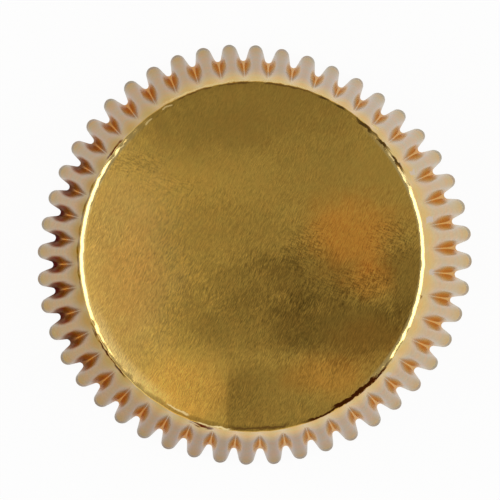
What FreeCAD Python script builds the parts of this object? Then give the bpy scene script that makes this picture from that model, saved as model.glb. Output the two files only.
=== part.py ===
# Fluted foil cupcake liner, standing mouth down with its base disc on top.
#
# The liner is pressed from one round blank of gold foil laminated on baking paper, so it is one thin
# solid: a flat base disc, a rounded corner, and a flared wall gathered into even flutes. A flute's
# section is a wide round crest and a narrow round valley, joined by straight flanks that touch both.
# The flutes start from nothing at the corner and deepen towards the cut rim. The blank can't stretch,
# so a line down the wall drops less where it runs further out, and the liner stands on its valleys.
# Frame: millimetres, +Z up, origin on the liner's axis in the plane that the rim stands on.

import FreeCAD, Part
import math
import os

# Base disc, its rounded corner, and the laminate that everything is made of
base_diameter = 50.0
corner_radius = 0.9
laminate_thickness = 0.1

# Flared wall: its length down the slope, and how far out the cut rim reaches on crests and in valleys
wall_slope_length = 27.9
rim_crest_diameter = 64.8
rim_valley_diameter = 59.9

# Flutes: how many, and how round their crests and valleys are, as ratios of the room that half a flute
# has across: 1.18 mm and 0.53 mm at the rim
flute_count = 48
crest_round_ratio = 0.579
valley_round_ratio = 0.260

# Three places down the wall: how far down the slope each is, and how deep the flutes are there beside
# the rim's, so that each row across the wall is as long as the flat blank is there
flute_depth_ratios = ((0.12, 0.31), (0.45, 0.60), (1.0, 1.0))

# How many flat steps stand for half a crest's arc, half a valley's arc and the corner's turn
crest_steps = 4
valley_steps = 3
corner_steps = 4

# How close facets' edges have to be to be sewn into one
sewing_gap = 0.0001

half_pitch = math.pi / flute_count
rim_mean_radius = (rim_crest_diameter + rim_valley_diameter) / 4
rim_half_depth = (rim_crest_diameter - rim_valley_diameter) / 4
flat_radius = base_diameter / 2 - corner_radius

# The angle between the mean wall and the liner's axis: the wall leaves the corner's arc in line with
# it, and ends at the rim's mean radius
flare = math.atan2(wall_slope_length, corner_radius) - math.acos(
    (rim_mean_radius - flat_radius) / math.hypot(wall_slope_length, corner_radius))
corner_turn = math.pi / 2 - flare
wall_start_radius = flat_radius + corner_radius * math.cos(flare)
corner_drop = corner_radius * (1 - math.sin(flare))
sideways_thickness = laminate_thickness / math.cos(flare)


def wall_drop(radius, slope_length):
    """How far below the corner a line of that length ends when it has run out to that radius."""
    return math.sqrt(slope_length ** 2 - (radius - wall_start_radius) ** 2)


liner_height = corner_drop + wall_drop(rim_valley_diameter / 2, wall_slope_length)


def arc_points(centre, radius, start_angle, end_angle, steps):
    """Points along an arc in the section's plane, its two ends included."""
    points = []
    for step in range(steps + 1):
        angle = start_angle + (end_angle - start_angle) * step / steps
        points.append((centre[0] + radius * math.cos(angle), centre[1] + radius * math.sin(angle)))
    return points


def flute_section(mean_radius, half_depth, inset):
    """Half a flute's section, from its crest to its valley, moved inwards by the inset."""
    room = mean_radius * math.sin(half_pitch)
    crest_radius = crest_round_ratio * room
    valley_radius = valley_round_ratio * room
    crest_centre = (mean_radius + half_depth - crest_radius, 0.0)
    valley_reach = mean_radius - half_depth + valley_radius
    valley_centre = (valley_reach * math.cos(half_pitch), valley_reach * math.sin(half_pitch))
    across = (valley_centre[0] - crest_centre[0], valley_centre[1] - crest_centre[1])
    lean = math.acos((crest_radius + valley_radius) / math.hypot(across[0], across[1]))
    flank_angle = math.atan2(across[1], across[0]) - lean
    crest = arc_points(crest_centre, crest_radius - inset, 0.0, flank_angle, crest_steps)
    valley = arc_points(
        valley_centre, valley_radius + inset, flank_angle + math.pi, half_pitch + math.pi,
        valley_steps)
    return crest + valley


def wall_row(slope_ratio, depth_ratio, inset):
    """One row of points across half a flute of the wall, at that part of the slope."""
    slope_length = slope_ratio * wall_slope_length
    mean_radius = wall_start_radius + slope_length * math.sin(flare)
    half_depth = depth_ratio * rim_half_depth
    row = []
    outer_section = flute_section(mean_radius, half_depth, 0.0)
    section = flute_section(mean_radius, half_depth, inset)
    for outer, point in zip(outer_section, section):
        drop = wall_drop(math.hypot(outer[0], outer[1]), slope_length)
        row.append(FreeCAD.Vector(point[0], point[1], liner_height - corner_drop - drop))
    return row


def corner_row(turn, inset):
    """The crest's and the valley's point of the corner, after that much of its turn."""
    radius = flat_radius + (corner_radius - inset) * math.sin(turn)
    z = liner_height - corner_radius + (corner_radius - inset) * math.cos(turn)
    return [
        FreeCAD.Vector(radius, 0, z),
        FreeCAD.Vector(radius * math.cos(half_pitch), radius * math.sin(half_pitch), z),
    ]


def facet(*points):
    """A flat face through its corners."""
    return Part.Face(Part.makePolygon(list(points) + [points[0]]))


def band(upper, lower):
    """Facets between two rows with as many points as each other."""
    facets = []
    for i in range(len(upper) - 1):
        if (upper[i + 1] - lower[i]).Length < (upper[i] - lower[i + 1]).Length:
            facets.append(facet(upper[i], lower[i], upper[i + 1]))
            facets.append(facet(upper[i + 1], lower[i], lower[i + 1]))
        else:
            facets.append(facet(upper[i], lower[i], lower[i + 1]))
            facets.append(facet(upper[i], lower[i + 1], upper[i + 1]))
    return facets


def fan(top, lower):
    """Facets from the corner's two points down to a wall row: crest side, flank, valley side."""
    flank = crest_steps + 1
    facets = [facet(top[0], lower[i], lower[i + 1]) for i in range(flank)]
    facets.append(facet(top[0], lower[flank], top[1]))
    facets += [facet(top[1], lower[i], lower[i + 1]) for i in range(flank, len(lower) - 1)]
    return facets


def half_flute_skin(sideways_inset, square_inset):
    """Half a flute's facets on one side of the laminate, corner included, and its rim row."""
    turns = [corner_turn * step / corner_steps for step in range(corner_steps + 1)]
    corner = [corner_row(turn, square_inset) for turn in turns]
    rows = [wall_row(slope, depth, sideways_inset) for slope, depth in flute_depth_ratios]
    facets = [facet(up[0], down[0], down[1], up[1]) for up, down in zip(corner, corner[1:])]
    facets += fan(corner[-1], rows[0])
    for upper, lower in zip(rows, rows[1:]):
        facets += band(upper, lower)
    return facets, corner[0], rows[-1]


def half_flute():
    """Half a flute of the laminate: its foil side, its paper side and the cut rim between them."""
    outer, outer_disc_edge, outer_rim = half_flute_skin(0.0, 0.0)
    inner, inner_disc_edge, inner_rim = half_flute_skin(sideways_thickness, laminate_thickness)
    return Part.Compound(outer + inner + band(outer_rim, inner_rim)), outer_disc_edge, inner_disc_edge


def disc(edge):
    """The flat base disc's face, whose edge has a corner on every crest and in every valley."""
    radius = edge[0].x
    angles = [half_pitch * i for i in range(2 * flute_count)]
    points = [
        FreeCAD.Vector(radius * math.cos(angle), radius * math.sin(angle), edge[0].z)
        for angle in angles
    ]
    return facet(*points)


def liner():
    """The whole liner as one thin solid."""
    half, outer_disc_edge, inner_disc_edge = half_flute()
    mirrored = half.mirror(FreeCAD.Vector(0, 0, 0), FreeCAD.Vector(0, 1, 0))
    flute = Part.Compound([half, mirrored])
    faces = [disc(outer_disc_edge), disc(inner_disc_edge)]
    for i in range(flute_count):
        copy = flute.copy()
        copy.rotate(FreeCAD.Vector(0, 0, 0), FreeCAD.Vector(0, 0, 1), 360 * i / flute_count)
        faces += copy.Faces
    shell = Part.Compound(faces)
    shell.sewShape(sewing_gap)
    solid = Part.Solid(shell.Shells[0])
    if solid.Volume < 0:
        solid.reverse()
    return solid


os.makedirs("parts", exist_ok=True)
liner().exportStep("parts/liner.step")
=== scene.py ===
import math

import bpy
import numpy as np
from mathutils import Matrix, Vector


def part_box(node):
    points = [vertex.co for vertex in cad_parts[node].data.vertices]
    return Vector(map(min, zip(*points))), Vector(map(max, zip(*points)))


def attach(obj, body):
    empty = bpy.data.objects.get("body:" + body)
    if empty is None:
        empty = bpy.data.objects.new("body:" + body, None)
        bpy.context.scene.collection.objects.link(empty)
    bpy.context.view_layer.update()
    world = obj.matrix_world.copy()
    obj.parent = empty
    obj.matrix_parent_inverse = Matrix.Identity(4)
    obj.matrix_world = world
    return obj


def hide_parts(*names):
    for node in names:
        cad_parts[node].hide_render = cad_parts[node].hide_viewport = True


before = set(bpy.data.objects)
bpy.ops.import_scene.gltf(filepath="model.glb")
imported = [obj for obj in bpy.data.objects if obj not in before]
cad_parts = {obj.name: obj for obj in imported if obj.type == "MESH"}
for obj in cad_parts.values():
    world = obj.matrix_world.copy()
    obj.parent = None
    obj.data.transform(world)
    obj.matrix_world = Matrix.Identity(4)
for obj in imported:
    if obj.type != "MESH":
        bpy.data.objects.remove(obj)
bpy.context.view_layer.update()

# The liner's shape. The real one is a round blank of gold foil on baking paper, pressed between fluted
# dies: a flat disc, a soft shoulder, a sharp bend, and a wall of wide round crests and narrow valleys.
# One flute is made here as a strip, from valley to valley and from the disc's middle to the cut rim.
mm = 0.001
flute_count = 48
base_radius = 25.0 * mm
shoulder_radius = 2.2 * mm
shoulder_turn = math.radians(24)
bend_radius = 0.25 * mm
rim_crest_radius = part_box("liner")[1].x
rim_valley_radius = 29.95 * mm
liner_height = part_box("liner")[1].z
crest_round_ratio = 0.579
rim_valley_round_ratio = 0.260
fold_valley_round_ratio = 0.10
valley_opening_power = 4
deepening = 0.95
bend_spacing = 0.8 * mm
steps_across_half = 12
disc_rings = 9
shoulder_rings = 5
bend_rings = 4
wall_rings = 19
ring_crowding = 1.3

half_pitch = math.pi / flute_count
rim_mean_radius = (rim_crest_radius + rim_valley_radius) / 2
rim_half_depth = (rim_crest_radius - rim_valley_radius) / 2
flare = math.atan2(rim_mean_radius - base_radius, liner_height)
shoulder_width = shoulder_radius * math.sin(shoulder_turn)
flat_radius = base_radius - shoulder_width - bend_radius * (math.cos(flare) - math.sin(shoulder_turn))
shoulder_drop = shoulder_radius * (1 - math.cos(shoulder_turn))
corner_drop = shoulder_drop + bend_radius * (math.cos(shoulder_turn) - math.sin(flare))
slope_length = math.hypot(liner_height - corner_drop, rim_valley_radius - base_radius)


def half_section(mean_radius, half_depth, down):
    """Points of half a flute's section, from the middle of the crest to the middle of the valley."""
    room = mean_radius * math.sin(half_pitch)
    crest_round = crest_round_ratio * room
    opened = (rim_valley_round_ratio - fold_valley_round_ratio) * down ** valley_opening_power
    valley_round = (fold_valley_round_ratio + opened) * room
    crest_x = mean_radius + half_depth - crest_round
    reach = mean_radius - half_depth + valley_round
    valley_x, valley_y = reach * math.cos(half_pitch), reach * math.sin(half_pitch)
    apart = math.hypot(valley_x - crest_x, valley_y)
    rounds = crest_round + valley_round
    bend = math.atan2(valley_y, valley_x - crest_x) - math.acos(rounds / apart)
    flank = math.sqrt(apart ** 2 - rounds ** 2)
    crest_walk = (crest_round + bend_spacing) * bend
    valley_walk = (valley_round + bend_spacing) * (bend - half_pitch)
    points = []
    for step in range(steps_across_half + 1):
        walk = (crest_walk + flank + valley_walk) * step / steps_across_half
        if walk < crest_walk:
            angle = bend * walk / crest_walk
            points.append((crest_x + crest_round * math.cos(angle), crest_round * math.sin(angle)))
        elif walk < crest_walk + flank:
            along = walk - crest_walk
            points.append((
                crest_x + crest_round * math.cos(bend) - along * math.sin(bend),
                crest_round * math.sin(bend) + along * math.cos(bend)))
        else:
            left = (crest_walk + flank + valley_walk - walk) / (valley_round + bend_spacing)
            angle = math.pi + half_pitch + left
            points.append((
                valley_x + valley_round * math.cos(angle), valley_y + valley_round * math.sin(angle)))
    return points


def corner_profile():
    """Radius and height of each ring of the disc, the shoulder and the bend."""
    rings = [(flat_radius * ring / disc_rings, liner_height) for ring in range(1, disc_rings + 1)]
    for ring in range(1, shoulder_rings + 1):
        turn = shoulder_turn * ring / shoulder_rings
        rings.append((
            flat_radius + shoulder_radius * math.sin(turn),
            liner_height - shoulder_radius * (1 - math.cos(turn))))
    for ring in range(1, bend_rings + 1):
        turn = shoulder_turn + (math.pi / 2 - flare - shoulder_turn) * ring / bend_rings
        rings.append((
            flat_radius + shoulder_width + bend_radius * (math.sin(turn) - math.sin(shoulder_turn)),
            liner_height - shoulder_drop - bend_radius * (math.cos(shoulder_turn) - math.cos(turn))))
    return rings


def flute_rings():
    """Rings of the strip as (points, share of the wall above them), from the disc to the rim."""
    even = [half_pitch * step / steps_across_half for step in range(steps_across_half + 1)]
    rings = []
    for radius, height in corner_profile():
        rings.append(([(radius * math.cos(a), radius * math.sin(a), height) for a in even], 0.0))
    for ring in range(1, wall_rings + 1):
        down = (ring / wall_rings) ** ring_crowding
        mean_radius = base_radius + down * (rim_mean_radius - base_radius)
        points = []
        for x, y in half_section(mean_radius, rim_half_depth * down ** deepening, down):
            run = math.hypot(x, y) - base_radius
            drop = math.sqrt(max((down * slope_length) ** 2 - run ** 2, 0.0))
            points.append((x, y, liner_height - corner_drop - drop))
        rings.append((points, down))
    return rings


def flute_strip():
    """One flute's mesh, with two attributes: down, the share of the wall above, and across, 0 on the
    crest to 1 in the valleys."""
    points = [(0.0, 0.0, liner_height)]
    downs = [0.0]
    acrosses = [0.0]
    faces = []
    steps_across = 2 * steps_across_half
    for ring, (half, down) in enumerate(flute_rings()):
        mirrored = [(x, -y, z) for x, y, z in reversed(half[1:])]
        points += mirrored + half
        downs += [down] * (steps_across + 1)
        acrosses += [abs(i / steps_across_half - 1) for i in range(steps_across + 1)]
        start = 1 + ring * (steps_across + 1)
        for i in range(steps_across):
            if ring == 0:
                faces.append((0, start + i, start + i + 1))
            else:
                above = start - (steps_across + 1)
                faces.append((above + i, start + i, start + i + 1, above + i + 1))
    mesh = bpy.data.meshes.new("flute_strip")
    mesh.from_pydata(points, [], faces)
    mesh.attributes.new("down", "FLOAT", "POINT").data.foreach_set("value", downs)
    mesh.attributes.new("across", "FLOAT", "POINT").data.foreach_set("value", acrosses)
    strip = bpy.data.objects.new("flute_strip", mesh)
    bpy.context.scene.collection.objects.link(strip)
    return strip


strip = flute_strip()

# The ring of flutes. The real wall is never quite round: it is a little oval, three-lobed and
# four-cornered, and each flute leans and stands out by its own amount. The tree sets the strip round
# the axis, joins the copies into one sheet, and bends that sheet by those amounts, most at the rim.
oval_at_base = -0.17 * mm
oval_at_rim = 0.54 * mm
lobes_at_rim = 0.47 * mm
lobes_turn = math.radians(-28)
corners_at_rim = 0.24 * mm
corners_turn = math.radians(68)
drift = math.radians(0.27)
lobe_drift = math.radians(0.26)
lobe_drift_turn = math.radians(240)
unevenness = 0.34 * mm
unevenness_pace = 7.5
uneven_seed = 4.0
lean_seed_step = 7.0
joining_gap = 0.002 * mm


def math_node(tree, operation, first, second=None):
    """A Math node's result, for sockets or plain numbers."""
    node = tree.nodes.new("ShaderNodeMath")
    node.operation = operation
    for socket, value in zip(node.inputs, (first, second)):
        if isinstance(value, bpy.types.NodeSocket):
            tree.links.new(value, socket)
        elif value is not None:
            socket.default_value = value
    return node.outputs[0]


def vector_node(tree, operation, first, second=None, scale=None):
    """A Vector Math node's result."""
    node = tree.nodes.new("ShaderNodeVectorMath")
    node.operation = operation
    for socket, value in zip(node.inputs, (first, second)):
        if isinstance(value, bpy.types.NodeSocket):
            tree.links.new(value, socket)
        elif value is not None:
            socket.default_value = value
    if scale is not None:
        tree.links.new(scale, node.inputs["Scale"])
    return node.outputs["Value" if operation == "LENGTH" else "Vector"]


def wave(tree, angle, times, turn, height):
    """height * cos(times * angle - turn) as nodes."""
    phase = math_node(tree, "SUBTRACT", math_node(tree, "MULTIPLY", angle, times), turn)
    return math_node(tree, "MULTIPLY", math_node(tree, "COSINE", phase), height)


def noise(tree, place, scale=1.0, detail=1.0, colour=False):
    """Noise between 0 and 1 at that place, as one value or as a colour."""
    node = tree.nodes.new("ShaderNodeTexNoise")
    node.inputs["Scale"].default_value = scale
    node.inputs["Detail"].default_value = detail
    tree.links.new(place, node.inputs["Vector"])
    return node.outputs[int(colour)]


def centred(tree, value):
    """A value between 0 and 1, moved to lie around 0."""
    return math_node(tree, "SUBTRACT", value, 0.5)


def ring_tree():
    """Geometry nodes that turn one flute strip into the whole foil side."""
    tree = bpy.data.node_groups.new("ring of flutes", "GeometryNodeTree")
    sockets = tree.interface
    sockets.new_socket("Geometry", in_out="INPUT", socket_type="NodeSocketGeometry")
    sockets.new_socket("Flutes", in_out="INPUT", socket_type="NodeSocketInt")
    for name in ("Oval at base", "Oval at rim", "Lobes at rim", "Lobes turn", "Corners at rim",
                 "Corners turn", "Drift", "Lobe drift", "Lobe drift turn", "Unevenness", "Pace",
                 "Seed", "Lean seed step", "Base radius"):
        sockets.new_socket(name, in_out="INPUT", socket_type="NodeSocketFloat")
    sockets.new_socket("Material", in_out="INPUT", socket_type="NodeSocketMaterial")
    sockets.new_socket("Geometry", in_out="OUTPUT", socket_type="NodeSocketGeometry")
    given = tree.nodes.new("NodeGroupInput").outputs
    link = tree.links.new

    points = tree.nodes.new("GeometryNodePoints")
    link(given["Flutes"], points.inputs["Count"])
    index = tree.nodes.new("GeometryNodeInputIndex").outputs[0]
    turn = math_node(tree, "DIVIDE", math_node(tree, "MULTIPLY", index, 2 * math.pi), given["Flutes"])
    turned = tree.nodes.new("ShaderNodeCombineXYZ")
    link(turn, turned.inputs["Z"])
    copies = tree.nodes.new("GeometryNodeInstanceOnPoints")
    link(points.outputs[0], copies.inputs["Points"])
    link(given["Geometry"], copies.inputs["Instance"])
    link(turned.outputs[0], copies.inputs["Rotation"])
    real = tree.nodes.new("GeometryNodeRealizeInstances")
    link(copies.outputs[0], real.inputs[0])
    joined = tree.nodes.new("GeometryNodeMergeByDistance")
    joined.inputs["Distance"].default_value = joining_gap
    link(real.outputs[0], joined.inputs["Geometry"])

    place = tree.nodes.new("GeometryNodeInputPosition").outputs[0]
    split = tree.nodes.new("ShaderNodeSeparateXYZ")
    link(place, split.inputs[0])
    angle = math_node(tree, "ARCTAN2", split.outputs["Y"], split.outputs["X"])
    flat_place = vector_node(tree, "MULTIPLY", place, (1.0, 1.0, 0.0))
    outwards = vector_node(tree, "NORMALIZE", flat_place)
    sideways = vector_node(tree, "CROSS_PRODUCT", (0.0, 0.0, 1.0), outwards)
    radius = vector_node(tree, "LENGTH", flat_place)
    down = tree.nodes.new("GeometryNodeInputNamedAttribute")
    down.data_type = "FLOAT"
    down.inputs["Name"].default_value = "down"
    down = down.outputs["Attribute"]
    inside = math_node(tree, "MINIMUM", math_node(tree, "DIVIDE", radius, given["Base radius"]), 1.0)
    above = math_node(tree, "MULTIPLY", math_node(tree, "SUBTRACT", 1.0, down), inside)

    ring_place = vector_node(tree, "SCALE", outwards, scale=given["Pace"])
    uneven = []
    for seed in (given["Seed"], math_node(tree, "ADD", given["Seed"], given["Lean seed step"])):
        seed_place = tree.nodes.new("ShaderNodeCombineXYZ")
        link(seed, seed_place.inputs["Z"])
        seeded_place = vector_node(tree, "ADD", ring_place, seed_place.outputs[0])
        swing = centred(tree, noise(tree, seeded_place))
        uneven.append(math_node(tree, "MULTIPLY", swing, given["Unevenness"]))

    base_out = math_node(tree, "MULTIPLY", wave(tree, angle, 2.0, 0.0, given["Oval at base"]), above)
    rim_out = math_node(
        tree, "ADD", wave(tree, angle, 2.0, 0.0, given["Oval at rim"]),
        wave(tree, angle, 3.0, given["Lobes turn"], given["Lobes at rim"]))
    rim_out = math_node(
        tree, "ADD", rim_out, wave(tree, angle, 4.0, given["Corners turn"], given["Corners at rim"]))
    rim_out = math_node(tree, "ADD", rim_out, uneven[0])
    out = math_node(tree, "ADD", base_out, math_node(tree, "MULTIPLY", rim_out, down))
    lean = math_node(
        tree, "ADD", wave(tree, angle, 1.0, 0.0, given["Drift"]),
        wave(tree, angle, 3.0, given["Lobe drift turn"], given["Lobe drift"]))
    lean = math_node(tree, "ADD", math_node(tree, "MULTIPLY", lean, radius), uneven[1])
    lean = math_node(tree, "MULTIPLY", lean, down)
    offset = vector_node(
        tree, "ADD", vector_node(tree, "SCALE", outwards, scale=out),
        vector_node(tree, "SCALE", sideways, scale=lean))

    bent = tree.nodes.new("GeometryNodeSetPosition")
    link(joined.outputs[0], bent.inputs["Geometry"])
    link(offset, bent.inputs["Offset"])
    smooth = tree.nodes.new("GeometryNodeSetShadeSmooth")
    link(bent.outputs[0], smooth.inputs["Geometry"])
    coated = tree.nodes.new("GeometryNodeSetMaterial")
    link(smooth.outputs[0], coated.inputs["Geometry"])
    link(given["Material"], coated.inputs["Material"])
    result = tree.nodes.new("NodeGroupOutput")
    link(coated.outputs[0], result.inputs["Geometry"])
    return tree


foil = bpy.data.materials.new("gold foil")
paper = bpy.data.materials.new("baking paper")
pattern = strip.modifiers.new("ring of flutes", "NODES")
pattern.node_group = ring_tree()
settings = {
    "Flutes": flute_count, "Oval at base": oval_at_base, "Oval at rim": oval_at_rim,
    "Lobes at rim": lobes_at_rim, "Lobes turn": lobes_turn, "Corners at rim": corners_at_rim,
    "Corners turn": corners_turn, "Drift": drift, "Lobe drift": lobe_drift,
    "Lobe drift turn": lobe_drift_turn, "Unevenness": unevenness, "Pace": unevenness_pace,
    "Seed": uneven_seed, "Lean seed step": lean_seed_step, "Base radius": base_radius,
    "Material": foil,
}
for item in pattern.node_group.interface.items_tree:
    if item.in_out == "INPUT" and item.name in settings:
        pattern[item.identifier] = settings[item.name]
whole = bpy.data.meshes.new_from_object(strip.evaluated_get(bpy.context.evaluated_depsgraph_get()))
liner = bpy.data.objects.new("liner_foil", whole)
bpy.context.scene.collection.objects.link(liner)
bpy.data.objects.remove(strip)

# The disc's gentle waves and the crinkled edge, where the real sheet was gathered round the die. They
# are moves of the sheet's own points: long low waves over the disc, short ones along the corner.
disc_wave = 0.05 * mm
disc_wave_lengths = (17 * mm, 23 * mm, 29 * mm)
disc_flatness = 0.01 * mm
crinkle = 0.035 * mm
crinkle_reach = 0.9 * mm
crinkle_waves = (23, 31, 41, 53, 67, 83)
crinkle_wave_share = 1 / 3
crinkle_drop_share = 0.5
wave_seed = 12

count = len(whole.vertices)
points = np.empty(count * 3)
whole.vertices.foreach_get("co", points)
points = points.reshape(count, 3)
turns = np.arctan2(points[:, 1], points[:, 0])
reaches = np.hypot(points[:, 0], points[:, 1])
drops = liner_height - points[:, 2]
random = np.random.default_rng(wave_seed)
ripple = np.zeros(count)
for waves in crinkle_waves:
    ripple += crinkle_wave_share * np.cos(waves * turns + random.uniform(0, 2 * math.pi))
ripple *= crinkle * np.exp(-((reaches - base_radius) ** 2 + drops ** 2) / crinkle_reach ** 2)
low_waves = np.zeros(count)
for length in disc_wave_lengths:
    heading = random.uniform(0, 2 * math.pi)
    along = points[:, 0] * math.cos(heading) + points[:, 1] * math.sin(heading)
    low_waves += np.cos(2 * math.pi * along / length + random.uniform(0, 2 * math.pi))
low_waves *= disc_wave * np.sqrt(np.clip(1 - reaches / flat_radius, 0, 1)) * (drops < disc_flatness)
points[:, 2] += crinkle_drop_share * ripple + low_waves
points[:, 0] += ripple * np.cos(turns)
points[:, 1] += ripple * np.sin(turns)
whole.vertices.foreach_set("co", points.ravel())

# The laminate's other side. The real foil is glued on white baking paper, which shows inside the cup
# and at the cut rim, so the sheet gets its thickness inwards and that side its own material.
laminate = 0.1 * mm
thick = liner.modifiers.new("laminate", "SOLIDIFY")
thick.thickness = laminate
thick.offset = -1.0
thick.use_even_offset = False
thick.material_offset = 1
thick.material_offset_rim = 0
whole.materials.clear()
whole.materials.append(foil)
whole.materials.append(paper)

# The foil's finish: gold lacquer on aluminium, with the paper's fibres pressed through it as a fine
# steep grain on the disc. The lacquer is a little uneven. Painted reflections, painted highlights and
# painted shade are set over it, in the colour and the reflection's tint: on the disc, round the wall
# and in the folds.
foil_gold = (0.715, 0.437, 0.082, 1.0)
plain_tone = (1.0, 1.0, 1.0, 1.0)
disc_fade = (liner_height - 0.45 * mm, liner_height - 0.25 * mm)
patch_fade = (1.55, 0.75)


def blend(tree, kind, factor, first, second):
    """A Mix Color node's result, for sockets or plain colours."""
    node = tree.nodes.new("ShaderNodeMix")
    node.data_type = "RGBA"
    node.blend_type = kind
    for socket, value in zip((node.inputs[0], node.inputs[6], node.inputs[7]), (factor, first, second)):
        if isinstance(value, bpy.types.NodeSocket):
            tree.links.new(value, socket)
        else:
            socket.default_value = value
    return node.outputs[2]


def product(tree, first, *others):
    """All the values times each other."""
    for value in others:
        first = math_node(tree, "MULTIPLY", first, value)
    return first


def soft_step(tree, value, low, high):
    """0 at low, 1 at high and smooth between them, whichever is the larger."""
    node = tree.nodes.new("ShaderNodeMapRange")
    node.interpolation_type = "SMOOTHSTEP"
    node.inputs["From Min"].default_value = min(low, high)
    node.inputs["From Max"].default_value = max(low, high)
    node.inputs["To Min"].default_value = float(low > high)
    node.inputs["To Max"].default_value = float(low <= high)
    tree.links.new(value, node.inputs["Value"])
    return node.outputs[0]


def attribute(tree, name):
    """A float attribute of the mesh."""
    node = tree.nodes.new("ShaderNodeAttribute")
    node.attribute_name = name
    return node.outputs["Fac"]


def stretched(tree, place, heading, length, width):
    """The place in a frame turned to that heading and scaled to that length and width."""
    node = tree.nodes.new("ShaderNodeMapping")
    node.vector_type = "TEXTURE"
    node.inputs["Rotation"].default_value = (0.0, 0.0, heading)
    node.inputs["Scale"].default_value = (length, width, length)
    tree.links.new(place, node.inputs["Vector"])
    return node.outputs[0]


def patch(tree, place, fray, middle, reach, strength):
    """That strength in the middle of a soft patch and 0 outside it, its edge frayed."""
    away = vector_node(tree, "SUBTRACT", place, (middle[0] * mm, middle[1] * mm, liner_height))
    away = vector_node(tree, "MULTIPLY", away, (1 / (reach[0] * mm), 1 / (reach[1] * mm), 0.0))
    away = math_node(tree, "ADD", vector_node(tree, "LENGTH", away), fray)
    return product(tree, soft_step(tree, away, *patch_fade), strength)


foil.use_nodes = True
tree = foil.node_tree
tree.nodes.clear()
place = tree.nodes.new("ShaderNodeTexCoord").outputs["Object"]
axes = tree.nodes.new("ShaderNodeSeparateXYZ")
tree.links.new(place, axes.inputs[0])
place_x, place_y, place_z = axes.outputs
radius = vector_node(tree, "LENGTH", vector_node(tree, "MULTIPLY", place, (1.0, 1.0, 0.0)))
angle = math_node(tree, "ARCTAN2", place_y, place_x)
down = attribute(tree, "down")
across = attribute(tree, "across")
on_disc = soft_step(tree, place_z, *disc_fade)
off_disc = math_node(tree, "SUBTRACT", 1.0, on_disc)

# The fibres' grain, which wanders a little from its heading and is fainter in the upper part
grain_length = 0.62 * mm
grain_width = 0.080 * mm
grain_steepness = math.radians(67)
grain_detail = 3.0
grain_contrast = 1.56
grain_height = 0.006 * mm
wall_grain_share = 0.22
wander = 0.7 * mm
wander_scale = 300.0
grain_share_scale = 130.0
grain_share_least = 0.45
grain_share_range = 1.1
faint_grain_side = (4 * mm, 15 * mm)
faint_grain_loss = 0.45

bent = noise(tree, place, wander_scale, colour=True)
bent = vector_node(tree, "SUBTRACT", bent, (0.5, 0.5, 0.5))
bent = vector_node(tree, "MULTIPLY", bent, (wander, wander, wander))
wandering = vector_node(tree, "ADD", place, bent)
grain_place = stretched(tree, wandering, grain_steepness, grain_length, grain_width)
grain = centred(tree, noise(tree, grain_place, detail=grain_detail))
disc_share = product(tree, on_disc, 1 - wall_grain_share)
disc_share = math_node(tree, "ADD", disc_share, wall_grain_share)
grain_share = product(tree, noise(tree, place, grain_share_scale), grain_share_range)
grain_share = math_node(tree, "ADD", grain_share, grain_share_least)
fainter = product(tree, soft_step(tree, place_y, *faint_grain_side), faint_grain_loss)
grain_share = math_node(tree, "SUBTRACT", grain_share, fainter)
grained = product(tree, grain, disc_share, grain_share)
grain_and_crease_level = product(tree, grained, grain_contrast)

# The lacquer's mottling, and soft patches of painted reflection and painted shade on the disc, warmer,
# lighter, paler or darker where the studio's reflection would fall, frayed along the fibres: middle,
# half width and half height in mm, how strong, and their tone
mottling = 1.6 * mm
mottling_detail = 2.0
mottle_warm = (1.05, 0.97, 0.94, 1.0)
mottle_cool = (0.95, 1.02, 1.02, 1.0)
fray_scale = 260.0
fray_detail = 2.0
fray_share = 0.7
fibre_fray_share = 0.9
warm_reflection_tone = (1.10, 0.88, 0.76, 1.0)
painted_shade_tone = (0.56, 0.54, 0.52, 1.0)
painted_highlight_tone = (1.25, 1.22, 1.20, 1.0)
pale_reflection_tone = (1.00, 1.01, 1.28, 1.0)
painted_reflection_patches = (
    ((-4.0, 22.0), (25.0, 8.5), 0.48, painted_shade_tone),
    ((-8.0, 18.8), (12.0, 4.0), 0.18, painted_shade_tone),
    ((7.5, 12.0), (7.0, 6.0), 0.20, painted_shade_tone),
    ((-3.0, 3.0), (13.0, 6.0), 0.35, painted_shade_tone),
    ((0.0, -4.0), (9.0, 5.0), 0.65, painted_shade_tone),
    ((9.0, -3.0), (9.0, 5.0), 0.65, painted_shade_tone),
    ((14.0, -10.0), (13.0, 6.0), 1.00, painted_shade_tone),
    ((1.0, -9.5), (12.0, 5.5), 0.60, painted_shade_tone),
    ((3.5, -20.0), (8.5, 6.0), 0.45, painted_shade_tone),
    ((-9.0, -9.0), (6.0, 5.0), 0.25, painted_shade_tone),
    ((22.0, -3.0), (4.5, 7.0), 0.75, painted_shade_tone),
    ((14.5, 4.0), (8.0, 7.0), 1.0, warm_reflection_tone),
    ((14.0, 1.2), (5.5, 7.0), 0.45, warm_reflection_tone),
    ((17.3, -3.4), (4.2, 3.2), 0.8, warm_reflection_tone),
    ((17.0, -12.0), (7.0, 4.0), 0.5, warm_reflection_tone),
    ((-17.5, -3.0), (5.5, 8.0), 0.4, warm_reflection_tone),
    ((11.0, -16.8), (6.5, 3.6), 0.8, warm_reflection_tone),
    ((14.0, 3.8), (7.0, 6.0), 0.70, painted_highlight_tone),
    ((11.0, -16.5), (6.5, 4.0), 0.40, painted_highlight_tone),
    ((17.0, -3.2), (4.2, 3.0), 0.70, painted_highlight_tone),
    ((-8.0, 8.3), (10.0, 5.2), 0.38, painted_highlight_tone),
    ((-13.0, 11.3), (8.0, 2.8), 0.30, painted_highlight_tone),
    ((-17.0, -0.5), (4.5, 6.0), 0.40, painted_highlight_tone),
    ((-9.0, -19.5), (6.5, 5.5), 0.40, warm_reflection_tone),
    ((-9.5, -19.0), (7.0, 5.5), 1.00, painted_highlight_tone),
    ((-19.0, -2.0), (10.0, 20.0), 1.00, pale_reflection_tone),
)

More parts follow.
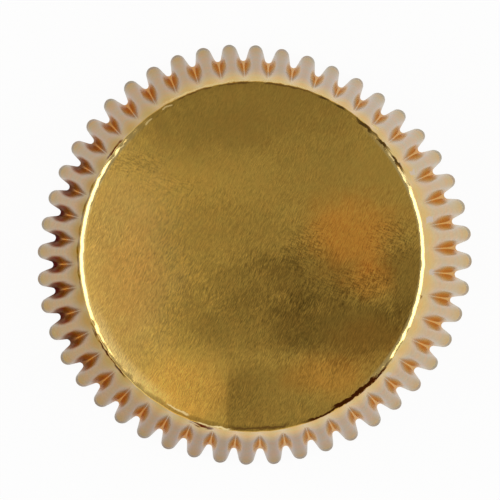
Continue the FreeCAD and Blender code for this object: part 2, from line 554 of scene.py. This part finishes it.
fray = product(tree, noise(tree, place, fray_scale, fray_detail), fray_share)
fray = math_node(tree, "ADD", fray, product(tree, grain, fibre_fray_share))
mottled = noise(tree, place, 1 / mottling, mottling_detail)
mottling_and_painted_light = blend(tree, "MIX", mottled, mottle_warm, mottle_cool)
# Each patch multiplies the colour by its painted reflection or painted shade
for middle, reach, strength, patch_light_tone in painted_reflection_patches:
    mottling_and_painted_light = blend(
        tree, "MULTIPLY", patch(tree, place, fray, middle, reach, strength), mottling_and_painted_light, patch_light_tone)

# Painted shade of a soft straight fold in the lower disc, darker on the fold's right; the disc is not
# folded there
disc_fold = -3.2 * mm
disc_fold_edge = 0.4 * mm
disc_fold_shade = 9 * mm
disc_fold_start = (-14.5 * mm, -18.5 * mm)
disc_fold_painted_shade = (0.70, 0.68, 0.66, 1.0)

past_fold = soft_step(tree, place_x, disc_fold - disc_fold_edge, disc_fold + disc_fold_edge)
near_fold = soft_step(tree, place_x, disc_fold + disc_fold_shade, disc_fold)
fold_shade = product(tree, past_fold, near_fold, soft_step(tree, place_y, *disc_fold_start))
mottling_and_painted_light = blend(tree, "MULTIPLY", fold_shade, mottling_and_painted_light, disc_fold_painted_shade)
mottling_and_painted_light = blend(tree, "MIX", on_disc, plain_tone, mottling_and_painted_light)

# Crumpled places, whose creases are drawn in painted shade as short wandering lines: middle, half
# sizes, strength
crease_length = 1.2 * mm
crease_width = 0.30 * mm
crease_heading = math.radians(-22)
crease_detail = 3.0
crease_fade = (0.10, 0.0)
crease_middle = 0.22
crease_contrast = 0.45
crease_shade_places = (
    ((20.0, 3.0), (4.0, 3.8), 1.0),
    ((14.5, -3.6), (8.0, 3.0), 0.9),
    ((7.5, 1.2), (4.0, 4.5), 0.9),
    ((-17.5, 13.0), (5.5, 2.2), 0.8),
    ((-13.0, 10.0), (6.0, 2.0), 0.5),
)

crease_place = stretched(tree, wandering, crease_heading, crease_length, crease_width)
ridge = math_node(tree, "ABSOLUTE", centred(tree, noise(tree, crease_place, detail=crease_detail)))
crease = math_node(tree, "SUBTRACT", crease_middle, soft_step(tree, ridge, *crease_fade))
crease_shade_area = 0.0
for middle, reach, strength in crease_shade_places:
    crease_shade_area = math_node(
        tree, "MAXIMUM", crease_shade_area, patch(tree, place, fray, middle, reach, strength))
# Painted shade: the crease lines darken the colour, and it is a little lighter between them
crease_shade = product(tree, crease, crease_shade_area, on_disc, crease_contrast)
grain_and_crease_level = math_node(tree, "ADD", math_node(tree, "ADD", grain_and_crease_level, crease_shade), 1.0)
grain_and_crease_shade = tree.nodes.new("ShaderNodeCombineColor")
for socket in grain_and_crease_shade.inputs:
    tree.links.new(grain_and_crease_level, socket)
grain_and_crease_shade = grain_and_crease_shade.outputs[0]

# Places round the liner, each from where it starts to where it is full: the side where the crests'
# reflections get painted shade, the left side, painted in shade where less light gets in, its deepest
# part, the shoulder at left and right, painted brighter as a painted highlight where the lamps' lines
# fall, and a painted highlight on the disc's edge at the upper left
crest_shade = 0.56
crest_shade_wave = -0.33
crest_shade_turn = math.radians(28)
crest_shade_oval = -0.21
shaded_left_reach = (4 * mm, -33 * mm)
deepest_shade_reach = (-18 * mm, -30 * mm)
shoulder_highlight_edge = (flat_radius - 0.05 * mm, flat_radius + 0.30 * mm)
shoulder_highlight_reach = (14 * mm, 22 * mm)
glow_edge = (22.4 * mm, 24.0 * mm)
glow_heading = math.radians(140)
glow_reach = (math.radians(28), math.radians(10))

# Painted shade: the crests' reflection tint is darker on one side of the liner, from any view
crest_shade_side = math_node(
    tree, "ADD", wave(tree, angle, 1.0, crest_shade_turn, crest_shade_wave),
    wave(tree, angle, 2.0, 0.0, crest_shade_oval))
crest_shade_side = math_node(tree, "ADD", crest_shade_side, crest_shade)
# Painted shade on the left side of the liner, deepest at the far left
shaded_left_side = soft_step(tree, place_x, *shaded_left_reach)
deepest_shaded_side = soft_step(tree, place_x, *deepest_shade_reach)
# Painted highlight: the shoulder at left and right, where the lamps' lines fall, gets a brighter gold
shoulder_highlight = product(
    tree, soft_step(tree, radius, *shoulder_highlight_edge),
    soft_step(tree, math_node(tree, "ABSOLUTE", place_x), *shoulder_highlight_reach), on_disc)
# Painted highlight: a paler, bluer glow painted into the colour on the disc's edge at the upper left
glow_turn = math_node(tree, "ABSOLUTE", math_node(tree, "ADD", angle, glow_heading))
painted_edge_glow = product(
    tree, soft_step(tree, radius, *glow_edge), soft_step(tree, glow_turn, *glow_reach), on_disc)

# Places on a flute: the band below the disc, which reaches further down in the valleys, the valley's
# fold with its lighter core, its foot at the rim, the line above the fold, and the flute's tip
band_height = (liner_height - 10.0 * mm, liner_height - 1.0 * mm)
valley_band = 3.5 * mm
core_side = (0.42, 0.80)
narrowing_start = (0.62, 0.95)
fold_widening = 0.12
fold_narrowing = 0.20
fold_start = (0.31, 0.62)
fold_side = (0.32, 0.58)
foot_start = (0.62, 0.87)
foot_side = (0.34, 0.66)
foot_share_light = 0.30
line_side = (0.72, 0.98)
tip_start = (0.62, 1.0)

band = math_node(tree, "ADD", place_z, product(tree, across, valley_band))
band = product(tree, soft_step(tree, band, *band_height), off_disc)
reflected_core = product(tree, soft_step(tree, across, *core_side), shaded_left_side)
narrowing = soft_step(tree, down, *narrowing_start)
folded = math_node(tree, "ADD", across, product(tree, deepest_shaded_side, fold_widening))
folded = math_node(tree, "SUBTRACT", folded, product(tree, narrowing, fold_narrowing))
fold = product(tree, soft_step(tree, down, *fold_start), soft_step(tree, folded, *fold_side))
foot_share = product(tree, deepest_shaded_side, 1 - foot_share_light)
foot_share = math_node(tree, "ADD", foot_share, foot_share_light)
foot_shadow = product(
    tree, soft_step(tree, down, *foot_start), soft_step(tree, folded, *foot_side), foot_share)
valley_line = math_node(tree, "SUBTRACT", 1.0, math_node(tree, "MAXIMUM", fold, band))
valley_line = product(tree, soft_step(tree, folded, *line_side), valley_line)
tip = soft_step(tree, down, *tip_start)

# The colours of those places seen face on: painted highlights on the upper-left edge and on the
# shoulder, painted reflection colours in the band and the folds, painted shade on the left side, and
# painted shadow in the feet at the rim
painted_glow_tone = (1.32, 1.48, 2.30, 1.0)
glow_strength = 0.85
shoulder_highlight_gold = (0.84, 0.63, 0.25, 1.0)
band_reflection_gold = (0.80, 0.58, 0.28, 1.0)
band_shaded_gold = (0.48, 0.31, 0.13, 1.0)
fold_reflection_gold = (0.72, 0.39, 0.12, 1.0)
fold_shaded_gold = (0.62, 0.24, 0.05, 1.0)
fold_deep_shade_gold = (0.33, 0.09, 0.022, 1.0)
core_reflection_gold = (0.74, 0.39, 0.11, 1.0)
foot_reflection_gold = (0.66, 0.36, 0.13, 1.0)
foot_shadow_gold = (0.12, 0.008, 0.004, 1.0)

base = blend(tree, "MULTIPLY", 1.0, foil_gold, mottling_and_painted_light)
base = blend(tree, "MULTIPLY", 1.0, base, grain_and_crease_shade)
base = blend(tree, "MULTIPLY", product(tree, painted_edge_glow, glow_strength), base, painted_glow_tone)
base = blend(
    tree, "MIX", product(tree, shoulder_highlight, math_node(tree, "SUBTRACT", 1.0, painted_edge_glow)), base, shoulder_highlight_gold)
# Painted reflection colour of the band below the disc, with painted shade on the left side
band_painted_gold = blend(tree, "MIX", shaded_left_side, band_reflection_gold, band_shaded_gold)
base = blend(tree, "MIX", band, base, band_painted_gold)
# Painted reflections in the valleys' folds, in painted shade on the left and darkest at the far left,
# with a lighter painted reflection in the core
fold_painted_gold = blend(tree, "MIX", shaded_left_side, fold_reflection_gold, fold_shaded_gold)
fold_painted_gold = blend(tree, "MIX", deepest_shaded_side, fold_painted_gold, fold_deep_shade_gold)
base = blend(tree, "MIX", fold, base, blend(tree, "MIX", reflected_core, fold_painted_gold, core_reflection_gold))
# Painted shadow at the valleys' feet by the rim, dark maroon on the left, a painted orange reflection
# on the right
foot_painted_gold = blend(tree, "MIX", deepest_shaded_side, foot_reflection_gold, foot_shadow_gold)
base = blend(tree, "MIX", foot_shadow, base, foot_painted_gold)

# The tints of their reflections at a flat angle, which is how the camera above sees the wall. They are
# painted reflection colours set place by place: painted shade on the crests' shaded side and on the
# left, a yellower tip, a painted shade line in the valleys, painted reflections and shadow in the folds
# and feet
wall_mottling = 1.9 * mm
wall_mottling_fade = (0.3, 0.7)
crest_lit_tint = (0.755, 0.80, 0.97, 1.0)
crest_shaded_tint = (0.46, 0.45, 0.55, 1.0)
tip_reflection_tint = (0.96, 0.91, 0.74, 1.0)
band_reflection_tint = (0.77, 0.65, 0.43, 1.0)
band_shaded_tint = (0.60, 0.50, 0.32, 1.0)
fold_reflection_tint = (0.84, 0.66, 0.38, 1.0)
fold_shaded_tint = (0.64, 0.38, 0.16, 1.0)
fold_deep_shade_tint = (0.30, 0.145, 0.055, 1.0)
core_reflection_tint = (0.68, 0.42, 0.17, 1.0)
foot_shadow_tint = (0.10, 0.022, 0.003, 1.0)
valley_line_shade = (0.84, 0.80, 0.72, 1.0)

# The crests' painted reflection colour, pale, with painted shade on one side
edge = blend(tree, "MIX", crest_shade_side, crest_lit_tint, crest_shaded_tint)
# Painted reflection: the tips' reflection tinted yellower
edge = blend(tree, "MULTIPLY", tip, edge, tip_reflection_tint)
band_painted_tint = blend(tree, "MIX", shaded_left_side, band_reflection_tint, band_shaded_tint)
edge = blend(tree, "MIX", band, edge, band_painted_tint)
fold_painted_tint = blend(tree, "MIX", shaded_left_side, fold_reflection_tint, fold_shaded_tint)
fold_painted_tint = blend(tree, "MIX", deepest_shaded_side, fold_painted_tint, fold_deep_shade_tint)
edge = blend(tree, "MIX", fold, edge, blend(tree, "MIX", reflected_core, fold_painted_tint, core_reflection_tint))
edge = blend(tree, "MIX", product(tree, foot_shadow, deepest_shaded_side), edge, foot_shadow_tint)
# Painted shade along the valley line above the fold
edge = blend(tree, "MULTIPLY", valley_line, edge, valley_line_shade)
wall_mottled = noise(tree, place, 1 / wall_mottling, mottling_detail)
wall_mottled = soft_step(tree, wall_mottled, *wall_mottling_fade)
wall_tone = blend(tree, "MIX", wall_mottled, mottle_warm, mottle_cool)
edge = blend(tree, "MULTIPLY", 1.0, edge, wall_tone)
edge = blend(tree, "MULTIPLY", 1.0, edge, grain_and_crease_shade)

# Marks along the disc's edge, painted into the colour and the reflection's tint where sharp little
# folds show in the real foil; the shape has no such folds. Dark, brown and olive marks are painted
# shade in their grooves, bright ones painted glints, pale ones on the wall painted highlights. First
# and last angle in degrees, inner and outer radius in mm, strength and colour
dark_fold_shade = (0.10, 0.022, 0.003, 1.0)
brown_fold_shade = (0.22, 0.09, 0.02, 1.0)
olive_fold_shade = (0.17, 0.09, 0.02, 1.0)
bright_fold_glint = (0.95, 0.74, 0.36, 1.0)
pale_highlight_mark = (0.70, 0.66, 0.66, 1.0)
jagged_height = 0.8 * mm
jagged_scale = 900.0
jagged_detail = 3.0
jagged_degrees_per_metre = 2500.0
dash_scale = 420.0
dash_fade = (0.32, 0.44)
mark_softness = 0.07
mark_full_share = 0.7
edge_fold_shade_and_glints = (
    ((-62, -41), (24.42, 25.02), 1.0, dark_fold_shade),
    ((-74, -34), (24.72, 25.02), 1.0, dark_fold_shade),
    ((29, 56), (24.50, 25.00), 1.0, olive_fold_shade),
    ((52, 70), (24.62, 25.00), 1.0, olive_fold_shade),
    ((66, 124), (24.80, 25.08), 0.7, brown_fold_shade),
    ((139, 148), (24.95, 25.30), 0.9, brown_fold_shade),
    ((150, 196), (24.98, 25.22), 0.5, olive_fold_shade),
    ((203, 226), (24.95, 25.28), 0.9, olive_fold_shade),
    ((250, 259), (25.25, 25.70), 0.9, brown_fold_shade),
    ((263, 285), (24.55, 24.85), 0.7, brown_fold_shade),
    ((-13.0, -11.6), (23.9, 25.0), 0.7, brown_fold_shade),
    ((252, 265), (24.92, 25.22), 1.0, bright_fold_glint),
    ((23, 33), (24.40, 24.70), 0.8, bright_fold_glint),
    ((35, 39), (24.45, 24.65), 0.8, bright_fold_glint),
    ((60, 126), (25.18, 25.48), 0.70, bright_fold_glint),
    ((46.5, 49.0), (25.7, 26.2), 0.6, bright_fold_glint),
    ((71, 74), (25.7, 25.9), 0.5, bright_fold_glint),
    ((28.0, 29.8), (25.7, 26.7), 0.5, pale_highlight_mark),
    ((12.0, 14.2), (25.7, 26.9), 0.6, pale_highlight_mark),
    ((-4.8, -2.6), (25.7, 26.8), 0.6, pale_highlight_mark),
    ((-40.5, -38.6), (25.7, 26.6), 0.4, pale_highlight_mark),
    ((241, 250), (24.35, 24.60), 0.8, bright_fold_glint),
    ((140, 147), (24.35, 24.55), 0.6, bright_fold_glint),
    ((127, 131), (24.25, 24.50), 0.5, bright_fold_glint),
    ((119, 123), (24.50, 24.75), 0.5, bright_fold_glint),
)


def degrees_from(tree, degrees, middle):
    """How many degrees it is from the middle, the shorter way round."""
    away = math_node(tree, "ADD", math_node(tree, "SUBTRACT", degrees, middle), 180.0)
    away = math_node(tree, "SUBTRACT", math_node(tree, "FLOORED_MODULO", away, 360.0), 180.0)
    return math_node(tree, "ABSOLUTE", away)


jagged = centred(tree, noise(tree, place, jagged_scale, jagged_detail))
jagged = product(tree, jagged, jagged_height)
jagged_radius = math_node(tree, "ADD", radius, jagged)
degrees = product(tree, angle, math.degrees(1))
degrees = math_node(tree, "ADD", degrees, product(tree, jagged, jagged_degrees_per_metre))
dashes = soft_step(tree, noise(tree, place, dash_scale), *dash_fade)
glint_mask = 0.0
# Each mark mixes its painted shade, painted glint or painted highlight into the colour and the
# reflection's tint
for (first, last), (inner, outer), strength, colour in edge_fold_shade_and_glints:
    half_turn = (last - first) / 2
    away = degrees_from(tree, degrees, (first + last) / 2)
    mark = product(
        tree, soft_step(tree, away, half_turn, half_turn * mark_full_share), strength,
        soft_step(tree, jagged_radius, (inner - mark_softness) * mm, (inner + mark_softness) * mm),
        soft_step(tree, jagged_radius, (outer + mark_softness) * mm, (outer - mark_softness) * mm))
    if colour in (brown_fold_shade, olive_fold_shade):
        mark = product(tree, mark, dashes)
    base = blend(tree, "MIX", mark, base, colour)
    edge = blend(tree, "MIX", mark, edge, colour)
    if colour == bright_fold_glint:
        glint_mask = math_node(tree, "MAXIMUM", glint_mask, mark)

# The foil's shader: dull in the feet, so that their painted shadow shows from every side, and dull on
# the painted glints of the bright little folds, which show from every side
foot_dullness_light = 0.25
foot_dullness_deep = 0.90
disc_roughness = 0.22
wall_roughness = 0.18
shoulder_roughness = 0.11
fold_roughness = 0.30

output = tree.nodes.new("ShaderNodeOutputMaterial")
metal = tree.nodes.new("ShaderNodeBsdfPrincipled")
tree.links.new(metal.outputs[0], output.inputs["Surface"])
tree.links.new(base, metal.inputs["Base Color"])
tree.links.new(edge, metal.inputs["Specular Tint"])
metal.inputs["Specular IOR Level"].default_value = 0.0
dull = product(tree, deepest_shaded_side, foot_dullness_deep - foot_dullness_light)
dull = product(tree, math_node(tree, "ADD", dull, foot_dullness_light), foot_shadow)
dull = math_node(tree, "MAXIMUM", dull, glint_mask)
tree.links.new(math_node(tree, "SUBTRACT", 1.0, dull), metal.inputs["Metallic"])
rough = product(tree, on_disc, disc_roughness - wall_roughness)
rough = math_node(tree, "ADD", rough, product(tree, fold, fold_roughness - wall_roughness))
rough = math_node(
    tree, "ADD", rough, product(tree, shoulder_highlight, shoulder_roughness - disc_roughness))
rough = math_node(tree, "ADD", rough, wall_roughness)
tree.links.new(rough, metal.inputs["Roughness"])
bump = tree.nodes.new("ShaderNodeBump")
bump.inputs["Distance"].default_value = grain_height
tree.links.new(grained, bump.inputs["Height"])
tree.links.new(bump.outputs[0], metal.inputs["Normal"])

# The paper's finish: matt off-white baking paper, faintly clouded, with short fibres in every heading.
paper_white = (0.86, 0.84, 0.78, 1.0)
paper_cloud = (0.80, 0.775, 0.70, 1.0)
paper_roughness = 0.7
fibre_length = 1.1 * mm
fibre_width = 0.16 * mm
fibre_height = 0.01 * mm
fibre_headings = (12, 58, 103, 151)
cloud_scale = 450.0
cloud_detail = 3.0
cloud_share = 0.6
fibre_share = 0.7
cloud_fade = (0.35, 0.75)

paper.use_nodes = True
tree = paper.node_tree
sheet = tree.nodes["Principled BSDF"]
place = tree.nodes.new("ShaderNodeTexCoord").outputs["Object"]
fibres = 0.0
for heading in fibre_headings:
    fibre_place = stretched(tree, place, math.radians(heading), fibre_length, fibre_width)
    fibres = math_node(tree, "MAXIMUM", fibres, noise(tree, fibre_place))
between_fibres = math_node(tree, "SUBTRACT", 1.0, fibres)
clouded = product(tree, noise(tree, place, cloud_scale, cloud_detail), cloud_share)
clouded = math_node(tree, "ADD", clouded, product(tree, between_fibres, fibre_share))
paper_colour = blend(
    tree, "MIX", soft_step(tree, clouded, *cloud_fade), paper_white, paper_cloud)
tree.links.new(paper_colour, sheet.inputs["Base Color"])
sheet.inputs["Roughness"].default_value = paper_roughness
bump = tree.nodes.new("ShaderNodeBump")
bump.inputs["Distance"].default_value = fibre_height
tree.links.new(fibres, bump.inputs["Height"])
tree.links.new(bump.outputs[0], sheet.inputs["Normal"])

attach(liner, "root")
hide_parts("liner")

# The floor: a plain white sheet that the liner stands on. It shows as white, and keeps a faint shadow.
floor_size = 6.0
floor_gap = 0.02 * mm
floor_white = 0.86
shown_white = 0.95

floor_mesh = bpy.data.meshes.new("floor")
side = floor_size / 2
floor_mesh.from_pydata(
    [(-side, -side, 0), (side, -side, 0), (side, side, 0), (-side, side, 0)], [], [(0, 1, 2, 3)])
floor = bpy.data.objects.new("floor", floor_mesh)
floor.location.z = -floor_gap
bpy.context.scene.collection.objects.link(floor)
white = bpy.data.materials.new("white floor")
white.use_nodes = True
tree = white.node_tree
tree.nodes.clear()
output = tree.nodes.new("ShaderNodeOutputMaterial")
matt = tree.nodes.new("ShaderNodeBsdfDiffuse")
matt.inputs["Color"].default_value = (floor_white, floor_white, floor_white, 1.0)
even_white = tree.nodes.new("ShaderNodeEmission")
path = tree.nodes.new("ShaderNodeLightPath")
seen = math_node(tree, "MAXIMUM", path.outputs["Is Camera Ray"], path.outputs["Is Glossy Ray"])
seen = math_node(tree, "MAXIMUM", seen, path.outputs["Is Transmission Ray"])
seen = math_node(tree, "MULTIPLY", seen, shown_white)
both = tree.nodes.new("ShaderNodeMixShader")
tree.links.new(seen, both.inputs[0])
tree.links.new(matt.outputs[0], both.inputs[1])
tree.links.new(even_white.outputs[0], both.inputs[2])
tree.links.new(both.outputs[0], output.inputs["Surface"])
floor_mesh.materials.append(white)

# The studio: a bright soft box high on the left and on the right, which the shoulder shows as lines,
# and a wide dim one near above the left, in a dim room with a white horizon.
soft_boxes = (
    {"middle": (-0.205, 0.005, 0.228), "size": (0.135, 0.23), "radiance": 2.6},
    {"middle": (0.205, 0.000, 0.228), "size": (0.135, 0.22), "radiance": 2.6},
    {"middle": (-0.100, -0.035, 0.280), "size": (0.17, 0.13), "radiance": 0.45},
)
horizon_white = (1.0, 1.0, 1.0, 1.0)
overhead_grey = (0.36, 0.36, 0.36, 1.0)
overhead_start = 0.55

aim = Vector((0, 0, liner_height))
for soft_box in soft_boxes:
    lamp = bpy.data.lights.new("soft box", "AREA")
    lamp.shape = "RECTANGLE"
    lamp.size, lamp.size_y = soft_box["size"]
    lamp.energy = soft_box["radiance"] * math.pi * lamp.size * lamp.size_y
    holder = bpy.data.objects.new("soft box", lamp)
    holder.location = soft_box["middle"]
    holder.rotation_euler = (holder.location - aim).to_track_quat("Z", "X").to_euler()
    bpy.context.scene.collection.objects.link(holder)

world = bpy.data.worlds.new("studio")
bpy.context.scene.world = world
world.use_nodes = True
tree = world.node_tree
tree.nodes.clear()
output = tree.nodes.new("ShaderNodeOutputWorld")
room = tree.nodes.new("ShaderNodeBackground")
tree.links.new(room.outputs[0], output.inputs["Surface"])
direction = tree.nodes.new("ShaderNodeTexCoord")
rise = tree.nodes.new("ShaderNodeSeparateXYZ")
tree.links.new(direction.outputs["Generated"], rise.inputs[0])
ramp = tree.nodes.new("ShaderNodeValToRGB")
ramp.color_ramp.elements[0].position = 0.0
ramp.color_ramp.elements[0].color = horizon_white
ramp.color_ramp.elements[1].position = overhead_start
ramp.color_ramp.elements[1].color = overhead_grey
tree.links.new(rise.outputs["Z"], ramp.inputs[0])
tree.links.new(ramp.outputs[0], room.inputs["Color"])
bpy.context.scene.view_settings.view_transform = "Standard"

# The camera: straight above the disc, as in the photograph, turned a little so that the flutes fall
# where they do there, with a small shift because the liner isn't quite in the middle of the picture.
camera_above_disc = 0.450
disc_pixels_per_mm = 6.978
frame_pixels = 500
liner_right = 2.3
liner_low = 6.4
camera_turn = math.radians(1.34)
sensor = 36.0
nearest_seen = 0.01

camera_data = bpy.data.cameras.new("camera")
camera_data.sensor_width = sensor
seen_width = frame_pixels / disc_pixels_per_mm * mm
camera_data.lens = sensor * camera_above_disc / seen_width
camera_data.shift_x = -liner_right / frame_pixels
camera_data.shift_y = liner_low / frame_pixels
camera_data.clip_start = nearest_seen
camera = bpy.data.objects.new("camera", camera_data)
camera.location = (0, 0, liner_height + camera_above_disc)
camera.rotation_euler = (0, 0, camera_turn)
bpy.context.scene.collection.objects.link(camera)
bpy.context.scene.camera = camera
